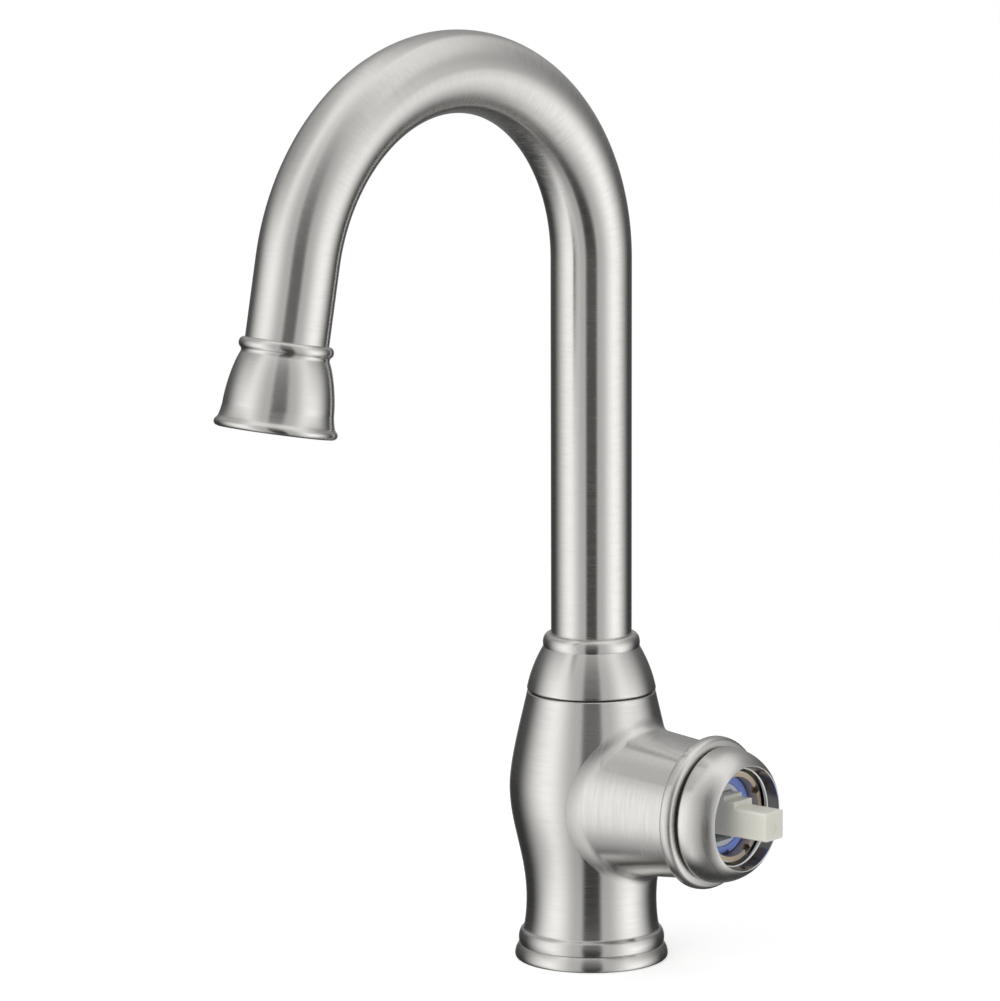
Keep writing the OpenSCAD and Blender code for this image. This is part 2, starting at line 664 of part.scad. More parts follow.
// Brass nut that clamps the cartridge: thread below, collar with four spanner slots above
module cartridge_nut() {
    slot_turn = 31;
    slot_deep = 2;
    collar_r = nut_collar_d / 2;
    chamfer = 0.4;
    color(brass) on_valve() difference() {
        union() {
            translate([0, 0, shoulder_x]) cylinder(r = thread_r - fit_gap, h = nut_thread_h);
            translate([0, 0, shoulder_x]) cylinder(r = collar_r, h = nut_thread_h + nut_collar_h - chamfer);
            translate([0, 0, nut_face_x - chamfer]) cylinder(r1 = collar_r, r2 = collar_r - chamfer, h = chamfer);
        }
        translate([0, 0, shoulder_x - past]) cylinder(d = nut_bore_d, h = nut_thread_h + nut_collar_h + 2 * past);
        for (k = [0 : 3]) rotate([0, 0, slot_turn + 90 * k])
            translate([nut_bore_d / 2 - past, -slot_w / 2, nut_face_x - slot_deep])
                cube([collar_r, slot_w, slot_deep + past]);
    }
}

// Moulded shell of the cartridge: a wide drum, a shoulder and a collar
module cartridge_shell() {
    color(white_plastic) on_valve() difference() {
        union() {
            translate([0, 0, plate_top_x]) cylinder(r = cart_r, h = shoulder_x - plate_top_x);
            cylinder(d = collar_tube_d, h = limit_base_x);
        }
        translate([0, 0, -past]) cylinder(r = shell_in_r, h = shoulder_x - shoulder_t + past);
        cylinder(r = rotor_r + run_gap, h = limit_base_x + past);
    }
}

// Coloured ring that limits the hot side, with its stop notch
module limit_ring() {
    notch_w = 5;
    color(blue_plastic) on_valve() difference() {
        ring(limit_d / 2, rotor_r + 2 * run_gap, limit_base_x, limit_h);
        translate([limit_d / 2 - 1.2, -notch_w / 2, limit_face_x - 1]) cube([3, notch_w, 1 + past]);
    }
}

// Rotor: turns in the shell, carries the lever on its pin and guides the disc carrier
module rotor() {
    slot_y = stem_half + side_gap;
    color(white_plastic) on_valve() difference() {
        union() {
            translate([0, 0, rotor_base_x]) cylinder(r = rotor_flange_r, h = rotor_flange_h);
            translate([0, 0, rotor_base_x]) cylinder(r = rotor_r, h = rotor_face_x - rotor_base_x);
        }
        translate([-slot_top, -slot_y, rotor_base_x - past])
            cube([slot_top + slot_low, 2 * slot_y, rotor_face_x - rotor_base_x + 2 * past]);
        translate([0, rotor_r + past, pin_x]) rotate([90, 0, 0]) cylinder(r = pin_r, h = 2 * rotor_r + 2 * past);
    }
}

// Lever, drawn closed: square stem for the handle, stepped root, pin hole, and a ball on an
// arm that leans by half of the tilt
module lever_stem() {
    arm_r = 1.6;
    dimple_d = 3;
    dimple_deep = 0.3;
    stem_end_x = pin_x + shelf_out + stem_len;
    color(white_plastic) on_valve() difference() {
        union() {
            lever_block(stem_half - stem_drop, pin_x, stem_end_x, 0.8);
            lever_block(shelf_top, pin_x, pin_x + shelf_out, 0.5);
            lever_block(root_top, pin_x - root_inner, pin_x + block_out, 0.5);
            translate([0, 0, pin_x]) rotate([0, -tilt_max / 2, 0]) translate([0, 0, -ball_arm]) {
                cylinder(r = arm_r, h = ball_arm, $fn = 32);
                sphere(r = ball_r, $fn = 40);
            }
        }
        translate([0, stem_side, pin_x]) rotate([90, 0, 0]) cylinder(r = pin_r + run_gap, h = 2 * stem_side);
        translate([-root_top, -stem_side, pin_x - root_inner]) rotate([0, 45, 0])
            translate([-2 * heel, 0, -heel / sqrt(2)]) cube([4 * heel, 2 * stem_side, sqrt(2) * heel]);
        translate([stem_drop + 1, 0, stem_end_x - dimple_deep]) cylinder(d = dimple_d, h = past);
    }
}

// One length of the lever, from its height above the valve axis down to the stem's underside
module lever_block(high, x0, x1, soft) {
    translate([0, 0, x0]) linear_extrude(x1 - x0) translate([soft - high, soft - stem_half])
        offset(r = soft, $fn = 32) square([high + root_low - 2 * soft, stem_side - 2 * soft]);
}

module lever_pin() {
    pin_len = 2 * sqrt(pow(rotor_r, 2) - pow(pin_r, 2)) - 1;
    color(steel) on_valve() translate([0, pin_len / 2, pin_x]) rotate([90, 0, 0]) cylinder(r = pin_r, h = pin_len);
}

// Carrier, drawn closed: holds the moving disc by two lugs, slides in the rotor's slot on its
// boss and takes the lever's ball in its socket
module disc_carrier() {
    boss_half = slot_top - disc_shift - 3 * end_gap;
    boss_h = 1.6;
    color(white_plastic) on_valve() translate([disc_shift, 0, 0]) {
        difference() {
            union() {
                translate([0, 0, carrier_base_x]) cylinder(d = moving_disc_d, h = carrier_t);
                translate([-boss_half, -stem_half, carrier_base_x + 1]) cube([2 * boss_half, stem_side, carrier_t - 1 + boss_h]);
            }
            translate([0, 0, ball_x - ball_r - 3 * end_gap]) cylinder(r = ball_r + side_gap, h = carrier_t + ball_r);
        }
        for (side = [-1, 1]) carrier_lug(side, 0, moving_disc_d / 2 - 0.4);
    }
}

// One lug of the carrier, reaching out to a radius, or with a gap the notch that takes it
module carrier_lug(side, gap, out_r) {
    lug_w = 5;
    lug_h = 2.4;
    lug_in = moving_disc_d / 2 - 2.2;
    rotate([0, 0, side * 90]) translate([lug_in - gap, -lug_w / 2 - gap, carrier_base_x - lug_h - gap])
        cube([out_r - lug_in + gap, lug_w + 2 * gap, lug_h + gap + 1]);
}

// Moving ceramic disc, with the mixing chamber in its underside
module moving_disc() {
    chamber_deep = 2.2;
    color(ceramic) on_valve() translate([disc_shift, 0, 0]) difference() {
        translate([0, 0, moving_base_x]) cylinder(d = moving_disc_d, h = moving_disc_t);
        translate([0, 0, moving_base_x - past]) cylinder(r = port_circle_r - 1.4, h = chamber_deep + past);
        for (side = [-1, 1]) carrier_lug(side, end_gap, moving_disc_d);
    }
}

module port_holes(x, h) {
    for (a = port_angles) rotate([0, 0, a]) translate([port_circle_r, 0, x]) cylinder(r = port_r, h = h);
}

// Fixed ceramic disc, keyed to the shell, with its three ports
module fixed_disc() {
    color(ceramic) on_valve() difference() {
        translate([0, 0, fixed_base_x]) cylinder(r = shell_in_r - end_gap, h = fixed_disc_t);
        port_holes(fixed_base_x - past, fixed_disc_t + 2 * past);
    }
}

// Rings of rubber around the three ports: radius of the middle and its two walls
module ring_set(x, h, wall) {
    on_valve() for (a = port_angles) rotate([0, 0, a]) translate([port_circle_r, 0, 0]) ring(port_r + wall, port_r, x, h);
}

module disc_seal() {
    color(rubber) ring_set(plate_top_x, disc_seal_t, 1);
}

// Base plate of the cartridge: closes the shell, with three ports and two locating pegs
module base_plate() {
    color(white_plastic) on_valve() difference() {
        union() {
            translate([0, 0, plate_base_x]) cylinder(r = cart_r - end_gap, h = base_plate_t);
            for (side = [-1, 1]) translate([-peg_drop, side * peg_y, plate_base_x - port_seal_t - peg_len + end_gap])
                cylinder(r = peg_r, h = peg_len + port_seal_t + end_gap);
        }
        port_holes(plate_base_x - past, base_plate_t + 2 * past);
    }
}

module port_seals() {
    color(rubber) ring_set(seat_x, port_seal_t, 1.3);
}

body();
deck_gasket();
glide_ring();
retaining_ring();
upper_swivel_seal();
lower_swivel_seal();
spout_tail();
spout_collar();
spout_tube();
outlet_bell();
aerator_housing();
aerator_insert();
aerator_screen();
aerator_washer();
valve_cap();
cap_seal();
cartridge_nut();
cartridge_shell();
limit_ring();
rotor();
lever_stem();
lever_pin();
disc_carrier();
moving_disc();
fixed_disc();
disc_seal();
base_plate();
port_seals();
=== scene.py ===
"""Bar faucet: looks, lighting and camera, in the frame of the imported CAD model."""

import math

import bmesh
import bpy
import numpy as np
from mathutils import Matrix, Vector


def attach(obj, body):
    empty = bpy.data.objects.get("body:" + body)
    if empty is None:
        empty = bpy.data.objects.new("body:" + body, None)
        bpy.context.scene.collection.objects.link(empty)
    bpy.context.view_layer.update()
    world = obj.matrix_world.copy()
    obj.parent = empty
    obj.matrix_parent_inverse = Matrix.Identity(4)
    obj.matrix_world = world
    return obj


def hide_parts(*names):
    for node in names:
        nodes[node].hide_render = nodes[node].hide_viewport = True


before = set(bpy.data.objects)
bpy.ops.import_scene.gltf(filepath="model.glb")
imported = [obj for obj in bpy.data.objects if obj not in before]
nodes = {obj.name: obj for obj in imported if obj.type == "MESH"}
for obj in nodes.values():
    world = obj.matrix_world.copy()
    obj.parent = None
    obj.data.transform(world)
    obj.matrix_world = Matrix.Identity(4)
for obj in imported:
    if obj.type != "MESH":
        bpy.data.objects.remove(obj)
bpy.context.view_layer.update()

MM = 0.001
SMOOTH_ANGLE = math.radians(32)

# Sizes of the body and the branch, in mm
BODY_H = 94.8
VALVE_Z = 58.5
FOOT_R = 26.7
SKIRT_H = 5.3
FOOT_BEAD_H = 5.6
WAIST_R = 22.7
WAIST_Z = 21.0
BELLY_R = 28.5
TOP_R = 22.4
SWIVEL_BORE_R = 13.0
SEAT_DEPTH = 20
BRANCH_REACH = 54.8
FLANGE_T = 4.6
FLANGE_R = 26.6
FLANGE_BACK = BRANCH_REACH - FLANGE_T
BRANCH_R = 23.3
BRANCH_END = 51.5
ROOT_R = BELLY_R - 0.25
ROOT_SIDE_R = 26.0
BLEND_TOP = 4.0
BLEND_SIDE = 3.4
BOSS_R = 21.6
BOSS_H = 4.6
CAVITY_R = 19.0
CAVITY_STEP_X = 49.4
CARTRIDGE_BORE_R = 17.7
CARTRIDGE_BORE_X = 40

# Sizes of the valve cap and its nut, in mm
CAP_R = 23.6
CAP_BASE = 56.0
CAP_H = 12.2
CAP_OPEN_R = 18.1
CAP_LIP_R = 16.65
CAP_LIP_DEPTH = 4.1
CAP_SHOULDER_X = 59.6
CAP_END = CAP_BASE + CAP_H
NUT_R = 15.95
NUT_FACE = 62.5

# Sizes of the spout, its collar and its outlet bell, in mm
TUBE_R = 14.0
ARCH_R = 70.3
ARCH_SWEEP = math.radians(168.9)
ARCH_Z = 246.1
LEG = 26.4
SPOUT_SWING = math.radians(5.3)
COLLAR_BASE = 95.4
COLLAR_H = 15.2
COLLAR_BEAD_H = 4.6
COLLAR_R = 22.4
COLLAR_NECK_R = 16.7
COLLAR_BEAD_R = 16.85
SOCKET = 11.6
BELL_H = 30.5
BELL_BEAD_H = 4.4
BELL_BEAD_R = 15.85
BELL_NECK_R = 14.75
BELL_LOW_R = 18.6
BELL_RIM_R = 20.65
BELL_MOUTH_R = 16.6
BELL_MOUTH_DEPTH = 3
AERATOR_BORE_R = 12.05
AERATOR_DEPTH = 11.4
BELL_BORE_R = 9

# Sizes of the underside, in mm
GASKET_OUT_R = 24.2
GASKET_IN_R = 21.0
GASKET_T = 2.0
HOSE_X = 6.0
HOSE_Y = 7.794
HOSE_CORE_R = 4.55
HOSE_MAJOR_R = 5.0
HOSE_PITCH = 1.0
HOSE_DEPTH = 14.0
WATERWAY_R = 2.8
WATERWAY_TOP = 40.0
STUD_X = -13.0
STUD_CORE_R = 3.4
STUD_MAJOR_R = 4.0
STUD_PITCH = 1.25
STUD_DEPTH = 16.0
THREAD_START = 0.6
MOUTHS = [(HOSE_X, -HOSE_Y, HOSE_CORE_R), (HOSE_X, HOSE_Y, HOSE_CORE_R), (STUD_X, 0.0, STUD_CORE_R)]


# Curves
def quad(a, b, c, n):
    """Points of a quadratic curve, without the first."""
    return [tuple((1 - t) ** 2 * p + 2 * t * (1 - t) * q + t * t * r for p, q, r in zip(a, b, c))
            for t in (i / n for i in range(1, n + 1))]


def cubic(a, b, c, d, n):
    """Points of a cubic curve, without the first."""
    return [tuple((1 - t) ** 3 * p + 3 * t * (1 - t) ** 2 * q + 3 * t * t * (1 - t) * r + t ** 3 * s
                  for p, q, r, s in zip(a, b, c, d)) for t in (i / n for i in range(1, n + 1))]


# Places, each from a piece's own axis to the frame
ON_BODY = Matrix.Identity(4)
ON_VALVE = Matrix.Translation((0, 0, VALVE_Z)) @ Matrix.Rotation(math.radians(90), 4, "Y")
ON_SPOUT = Matrix.Rotation(math.radians(-90) - SPOUT_SWING, 4, "Z")
ON_ARCH_END = ON_SPOUT @ Matrix.Translation((ARCH_R, 0, ARCH_Z)) @ Matrix.Rotation(ARCH_SWEEP, 4, "Y")
ON_OUTLET = ON_ARCH_END @ Matrix.Translation((-ARCH_R, 0, LEG))


# Meshes
def finish_mesh(name, verts, faces, uvs, body, material):
    """Makes a piece from points in mm, shades it smooth up to an angle and lets it ride."""
    me = bpy.data.meshes.new(name)
    me.from_pydata([Vector(v) * MM for v in verts], [], faces)
    layer = me.uv_layers.new(name="UVMap")
    flat = np.zeros(len(me.loops) * 2)
    loop_verts = np.zeros(len(me.loops), dtype=int)
    me.loops.foreach_get("vertex_index", loop_verts)
    uv = np.array(uvs)[loop_verts]
    flat[0::2] = uv[:, 0]
    flat[1::2] = uv[:, 1]
    layer.data.foreach_set("uv", flat)
    me.shade_smooth()
    me.set_sharp_from_angle(angle=SMOOTH_ANGLE)
    me.materials.append(material)
    ob = bpy.data.objects.new(name, me)
    bpy.context.scene.collection.objects.link(ob)
    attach(ob, body)
    return ob


def weld(ob, turn_normals=True):
    """Joins the seam of a turned piece and keeps its two columns of uv apart."""
    bm = bmesh.new()
    bm.from_mesh(ob.data)
    bmesh.ops.remove_doubles(bm, verts=bm.verts, dist=1e-7)
    if turn_normals:
        bmesh.ops.recalc_face_normals(bm, faces=bm.faces)
    bm.to_mesh(ob.data)
    bm.free()
    ob.data.set_sharp_from_angle(angle=SMOOTH_ANGLE)


def lathe(name, profile, place, body, material, closed=False, segs=192):
    """Turns a profile of (radius, height) points about an axis. u runs around, v along."""
    n = len(profile)
    dist = [0.0]
    for a, b in zip(profile, profile[1:]):
        dist.append(dist[-1] + math.dist(a, b))
    verts, uvs, faces = [], [], []
    for k in range(segs + 1):
        turn = 2 * math.pi * k / segs
        for (r, z), d in zip(profile, dist):
            verts.append(place @ Vector((r * math.cos(turn), r * math.sin(turn), z)))
            uvs.append((k / segs, d))
    rows = n if closed else n - 1
    for k in range(segs):
        for i in range(rows):
            j = (i + 1) % n
            faces.append((k * n + i, (k + 1) * n + i, (k + 1) * n + j, k * n + j))
    ob = finish_mesh(name, verts, faces, uvs, body, material)
    weld(ob)
    return ob


# Materials
STREAK_TURNS = 2.5
BUMP_DEPTH = 0.00002


def new_material(name):
    mat = bpy.data.materials.new(name)
    mat.use_nodes = True
    nt = mat.node_tree
    return mat, nt, nt.nodes["Principled BSDF"]


def math_node(nt, operation, value, by=0.0):
    """A math node fed by a socket, with a number as its second input."""
    node = nt.nodes.new("ShaderNodeMath")
    node.operation = operation
    nt.links.new(value, node.inputs[0])
    node.inputs[1].default_value = by
    return node


def streaks(nt, streak_scale):
    """Noise drawn out around the piece: fine along v, and wide along u without a seam."""
    uv = nt.nodes.new("ShaderNodeUVMap")
    uv.uv_map = "UVMap"
    split = nt.nodes.new("ShaderNodeSeparateXYZ")
    nt.links.new(uv.outputs["UV"], split.inputs[0])
    joined = nt.nodes.new("ShaderNodeCombineXYZ")
    for axis, turn_of in (("X", "SINE"), ("Y", "COSINE")):
        turn = math_node(nt, "MULTIPLY", split.outputs["X"], 2 * math.pi)
        wave = math_node(nt, turn_of, turn.outputs[0])
        wide = math_node(nt, "MULTIPLY", wave.outputs[0], STREAK_TURNS)
        nt.links.new(wide.outputs[0], joined.inputs[axis])
    along = math_node(nt, "MULTIPLY", split.outputs["Y"], streak_scale)
    nt.links.new(along.outputs[0], joined.inputs["Z"])
    noise = nt.nodes.new("ShaderNodeTexNoise")
    noise.inputs["Scale"].default_value = 1.0
    noise.inputs["Detail"].default_value = 4.0
    nt.links.new(joined.outputs["Vector"], noise.inputs["Vector"])
    return noise


def brushed_metal(name, color, rough, aniso, streak_scale, streak, bump):
    """Metal brushed around the piece: fine streaks follow u, and the gloss is drawn out across them."""
    mat, nt, bsdf = new_material(name)
    bsdf.inputs["Base Color"].default_value = (*color, 1)
    bsdf.inputs["Metallic"].default_value = 1.0
    bsdf.inputs["Anisotropic"].default_value = aniso
    bsdf.inputs["Anisotropic Rotation"].default_value = 0.25
    tangent = nt.nodes.new("ShaderNodeTangent")
    tangent.direction_type = "UV_MAP"
    tangent.uv_map = "UVMap"
    nt.links.new(tangent.outputs["Tangent"], bsdf.inputs["Tangent"])
    noise = streaks(nt, streak_scale)
    rough_map = nt.nodes.new("ShaderNodeMapRange")
    rough_map.inputs["From Min"].default_value = 0.3
    rough_map.inputs["From Max"].default_value = 0.7
    rough_map.inputs["To Min"].default_value = rough - streak
    rough_map.inputs["To Max"].default_value = rough + streak
    nt.links.new(noise.outputs["Fac"], rough_map.inputs["Value"])
    nt.links.new(rough_map.outputs["Result"], bsdf.inputs["Roughness"])
    bump_node = nt.nodes.new("ShaderNodeBump")
    bump_node.inputs["Strength"].default_value = bump
    bump_node.inputs["Distance"].default_value = BUMP_DEPTH
    nt.links.new(noise.outputs["Fac"], bump_node.inputs["Height"])
    nt.links.new(bump_node.outputs["Normal"], bsdf.inputs["Normal"])
    return mat


def plain(name, color, metallic, rough, **sockets):
    """An even material. Further sockets are given by name, with underscores for spaces."""
    mat, _, bsdf = new_material(name)
    bsdf.inputs["Base Color"].default_value = (*color, 1)
    bsdf.inputs["Metallic"].default_value = metallic
    bsdf.inputs["Roughness"].default_value = rough
    for key, value in sockets.items():
        bsdf.inputs[key.replace("_", " ")].default_value = value
    return mat


NICKEL = (0.70, 0.69, 0.665)
nickel = brushed_metal("brushed_nickel", NICKEL, rough=0.235, aniso=0.96,
                       streak_scale=1.6, streak=0.04, bump=0.12)
satin = brushed_metal("satin_nickel", NICKEL, rough=0.26, aniso=0.65,
                      streak_scale=1.6, streak=0.04, bump=0.2)
polished = plain("polished_nickel", (0.40, 0.41, 0.44), 1.0, 0.14)
raw_brass = plain("raw_brass", (0.70, 0.58, 0.40), 1.0, 0.38)
# A paler nickel for thin edge rings: a painted highlight line on the cap's mouth and lip and on the nut's rim
painted_highlight_edge = plain("painted_highlight_edge", (0.93, 0.92, 0.89), 1.0, 0.30)
brass = plain("turned_brass", (0.56, 0.46, 0.35), 1.0, 0.42)
steel = plain("bright_steel", (0.62, 0.63, 0.64), 1.0, 0.25)
rubber = plain("black_rubber", (0.02, 0.02, 0.02), 0.0, 0.6)
ceramic = plain("lapped_ceramic", (0.86, 0.85, 0.80), 0.0, 0.15)
pale_plastic = plain("pale_plastic", (0.76, 0.80, 0.86), 0.0, 0.35)
dark_plastic = plain("dark_plastic", (0.02, 0.02, 0.02), 0.0, 0.5)
stem_plastic = plain("stem_plastic", (0.77, 0.76, 0.68), 0.0, 0.38,
                     Subsurface_Weight=0.6, Subsurface_Radius=(0.5, 0.5, 0.5), Subsurface_Scale=0.006)
blue_plastic = plain("blue_plastic", (0.25, 0.37, 0.92), 0.0, 0.3)
grey_plastic = plain("grey_plastic", (0.42, 0.44, 0.47), 0.0, 0.45)

# Materials of the CAD nodes that are shown as they are
for node, mat in {
    "cartridge_nut": brass, "spout_tail": brass, "retaining_ring": steel, "lever_pin": steel,
    "aerator_screen": steel, "aerator_housing": polished, "deck_gasket": rubber, "cap_seal": rubber,
    "upper_swivel_seal": rubber, "lower_swivel_seal": rubber, "aerator_washer": rubber,
    "disc_seal": rubber, "port_seals": rubber, "fixed_disc": ceramic, "moving_disc": ceramic,
    "glide_ring": dark_plastic, "cartridge_shell": pale_plastic, "base_plate": pale_plastic,
    "rotor": pale_plastic, "disc_carrier": pale_plastic, "lever_stem": stem_plastic,
    "limit_ring": blue_plastic, "aerator_insert": grey_plastic,
}.items():
    data = nodes[node].data
    data.materials.clear()
    data.materials.append(mat)


# Outlines of the foot and the vase
skirt_r = FOOT_R - 1.35
bead_top = SKIRT_H + FOOT_BEAD_H
cove = (WAIST_R + 0.8, bead_top + 0.7)
belly = (BELLY_R, VALVE_Z + 2.5)
foot_profile = (
    [(FOOT_R - 1.2, 0)] + quad((FOOT_R - 1.2, 0), (FOOT_R, 0), (FOOT_R, 1.4), 8)
    + quad((FOOT_R, 1.4), (FOOT_R - 0.05, 0.6 * SKIRT_H), (skirt_r, SKIRT_H - 0.25), 14)
    + [(skirt_r - 0.5, SKIRT_H), (skirt_r - 0.1, SKIRT_H + 0.25)]
    + quad((skirt_r - 0.1, SKIRT_H + 0.25), (skirt_r + 0.27, SKIRT_H + 0.37 * FOOT_BEAD_H),
           (skirt_r - 0.2, SKIRT_H + 0.62 * FOOT_BEAD_H), 12)
    + quad((skirt_r - 0.2, SKIRT_H + 0.62 * FOOT_BEAD_H), (skirt_r - 0.5, bead_top - 0.8),
           (WAIST_R + 1.3, bead_top - 0.45), 8)
    + quad((WAIST_R + 1.3, bead_top - 0.45), (WAIST_R + 0.85, bead_top - 0.15), cove, 6))
vase_profile = (
    [cove] + quad(cove, (WAIST_R + 0.1, bead_top + 4.1), (WAIST_R, WAIST_Z), 16)
    + cubic((WAIST_R, WAIST_Z), (WAIST_R, WAIST_Z + 16), (BELLY_R, belly[1] - 14), belly, 48)
    + cubic(belly, (BELLY_R, VALVE_Z + 12), (TOP_R + 1.7, BODY_H - 8.5), (TOP_R, BODY_H - 0.3), 48)
    + [(TOP_R - 0.3, BODY_H)])
VASE_R = np.array([p[0] for p in vase_profile])
VASE_Z = np.array([p[1] for p in vase_profile])


# Body skin: steps of its grids, and how the branch's patch meets the vase, in mm
PATCH_STEPS, BRANCH_ROWS, BLEND_ROWS = 320, 8, 20
VASE_STEPS = 384
BLEND_PULL = 0.66
PATCH_OVERLAP = 0.25
PATCH_SINK = 0.03


def vase_r(z):
    return float(np.interp(z, VASE_Z, VASE_R))


def branch_r(x):
    return ROOT_R + (BRANCH_R - ROOT_R) * x / FLANGE_BACK


def branch_side(x):
    return ROOT_SIDE_R + (BRANCH_R - ROOT_SIDE_R) * x / FLANGE_BACK


def on_vase(around, z):
    r = vase_r(z)
    return np.array((r * math.cos(around), r * math.sin(around), z))


def on_branch(t, x):
    return np.array((x, branch_side(x) * math.cos(t), VALVE_Z + branch_r(x) * math.sin(t)))


def blend_ends(t):
    """Where the blend leaves the branch and where it lands on the vase, for an angle around the branch."""
    x = 0.5 * BELLY_R
    for _ in range(24):
        _, y, z = on_branch(t, x)
        x = 0.5 * (x + math.sqrt(max(1.0, vase_r(z) ** 2 - y ** 2)))
    reach = BLEND_TOP + (BLEND_SIDE - BLEND_TOP) * math.cos(t) ** 2
    meet = on_branch(t, x)
    around = math.atan2(meet[1], meet[0])
    rise = meet[2] - VALVE_Z
    grow = 1 + reach / math.hypot(around * BELLY_R, rise)
    return x + reach, around, rise, grow, reach


def branch_column(t):
    """Points from the flange along the branch to the vase, and their last one as (angle, distance) on it."""
    x_a, around, rise, grow, reach = blend_ends(t)
    a = on_branch(t, x_a)
    b = on_vase(around * grow, VALVE_Z + rise * grow)
    away = on_branch(t, x_a - 0.5) - a
    away /= np.linalg.norm(away)
    inward = on_vase(around * (grow - 0.01), VALVE_Z + rise * (grow - 0.01)) - b
    inward /= np.linalg.norm(inward)
    pull = BLEND_PULL * reach
    column = [on_branch(t, BRANCH_END + (x_a - BRANCH_END) * i / BRANCH_ROWS) for i in range(BRANCH_ROWS)]
    column.append(a)
    column += [np.array(p) for p in cubic(a, a + away * pull, b + inward * pull, b, BLEND_ROWS)]
    arc, lift = around * grow * BELLY_R, rise * grow
    return column, (math.atan2(lift, arc), math.hypot(arc, lift))


def branch_patch():
    """The branch and its blend, as a grid around the branch's axis, and its rim on the vase."""
    verts, uvs, faces, rim = [], [], [], []
    n = BRANCH_ROWS + 1 + BLEND_ROWS
    for k in range(PATCH_STEPS + 1):
        column, landing = branch_column(2 * math.pi * k / PATCH_STEPS)
        d = 0.0
        for i, p in enumerate(column):
            if i:
                d += float(np.linalg.norm(p - column[i - 1]))
            verts.append(p)
            uvs.append((k / PATCH_STEPS, d))
        if k < PATCH_STEPS:
            rim.append(landing)
    for k in range(PATCH_STEPS):
        m = k + 1
        for i in range(n - 1):
            faces.append((k * n + i, k * n + i + 1, m * n + i + 1, m * n + i))
    return verts, uvs, faces, sorted(rim)


def add_vase(verts, uvs, faces, rim):
    """Adds the turned vase, without the part that the branch's patch covers."""
    rim_a = np.array([p[0] for p in rim])
    rim_d = np.array([p[1] for p in rim])
    start = len(verts)
    m = len(vase_profile)
    covered = []
    for k in range(VASE_STEPS + 1):
        turn = 2 * math.pi * (k + 0.5) / VASE_STEPS - math.pi
        for r, z in vase_profile:
            arc, rise = turn * BELLY_R, z - VALVE_Z
            edge = float(np.interp(math.atan2(rise, arc), rim_a, rim_d, period=2 * math.pi))
            inside = math.hypot(arc, rise) < edge - PATCH_OVERLAP
            covered.append(inside)
            sink = PATCH_SINK if inside else 0.0
            verts.append(((r - sink) * math.cos(turn), (r - sink) * math.sin(turn), z))
            uvs.append((k / VASE_STEPS, z))
    for k in range(VASE_STEPS):
        j = k + 1
        for i in range(m - 1):
            ids = (k * m + i, j * m + i, j * m + i + 1, k * m + i + 1)
            if not all(covered[q] for q in ids):
                faces.append(tuple(start + q for q in ids))


def body_skin():
    """The vase and the branch: a turned grid with the branch's patch laid over its open side."""
    verts, uvs, faces, rim = branch_patch()
    add_vase(verts, uvs, faces, rim)
    ob = finish_mesh("body_skin", verts, faces, uvs, "faucet_body", nickel)
    weld(ob, turn_normals=False)
    return ob


skin = body_skin()
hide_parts("body")
lathe("body_foot",
      [(GASKET_IN_R, 0), (GASKET_IN_R, GASKET_T), (GASKET_OUT_R, GASKET_T), (GASKET_OUT_R, 0)] + foot_profile,
      ON_BODY, "faucet_body", nickel)
lathe("body_seat", [(TOP_R - 0.3, BODY_H), (SWIVEL_BORE_R, BODY_H), (SWIVEL_BORE_R, BODY_H - SEAT_DEPTH)],
      ON_BODY, "faucet_body", nickel)


def underside():
    """The flat underside within the gasket, with the mouths of the hose threads and of the stud's hole."""
    bm = bmesh.new()
    edges = []
    for x, y, r, n in [(0, 0, GASKET_IN_R, 128)] + [(x, y, r, 64) for x, y, r in MOUTHS]:
        ring = [bm.verts.new(((x + r * math.cos(2 * math.pi * k / n)) * MM,
                              (y + r * math.sin(2 * math.pi * k / n)) * MM, 0)) for k in range(n)]
        edges += [bm.edges.new((ring[k], ring[(k + 1) % n])) for k in range(n)]
    bmesh.ops.triangle_fill(bm, use_beauty=True, use_dissolve=False, edges=edges, normal=(0, 0, -1))
    me = bpy.data.meshes.new("body_underside")
    bm.to_mesh(me)
    bm.free()
    me.materials.append(raw_brass)
    ob = bpy.data.objects.new("body_underside", me)
    bpy.context.scene.collection.objects.link(ob)
    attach(ob, "faucet_body")


def thread(name, mouth, major, pitch, depth, end):
    """A threaded hole in the underside: ridges from the core out to the major radius, then its end."""
    x, y, core = mouth
    turns = int((depth - 1) / pitch)
    ridges = [p for k in range(turns)
              for p in ((core, THREAD_START + k * pitch), (major, THREAD_START + (k + 0.5) * pitch))]
    lathe(name, [(core, 0)] + ridges + [(core, depth)] + end, Matrix.Translation((x, y, 0)), "faucet_body",
          raw_brass, segs=64)


underside()
for side, mouth in zip(("left", "right"), MOUTHS):
    thread("hose_thread_" + side, mouth, HOSE_MAJOR_R, HOSE_PITCH, HOSE_DEPTH,
           [(WATERWAY_R, HOSE_DEPTH), (WATERWAY_R, WATERWAY_TOP)])
thread("stud_thread", MOUTHS[2], STUD_MAJOR_R, STUD_PITCH, STUD_DEPTH, [(0.0, STUD_DEPTH)])

flange_crest = (FLANGE_R, FLANGE_BACK + 0.3 * FLANGE_T)
boss_end = BRANCH_REACH + BOSS_H
lathe("branch_flange", (
    [(BRANCH_R - 2, FLANGE_BACK), (FLANGE_R - 1.3, FLANGE_BACK)]
    + quad((FLANGE_R - 1.3, FLANGE_BACK), (FLANGE_R, FLANGE_BACK), flange_crest, 8)
    + quad(flange_crest, (FLANGE_R, BRANCH_REACH - 0.6), (FLANGE_R - 1.4, BRANCH_REACH), 10)
    + [(BOSS_R, BRANCH_REACH), (BOSS_R, boss_end), (CAVITY_R, boss_end), (CAVITY_R, CAVITY_STEP_X),
       (CARTRIDGE_BORE_R, CAVITY_STEP_X), (CARTRIDGE_BORE_R, CARTRIDGE_BORE_X)]),
    ON_VALVE, "faucet_body", nickel)
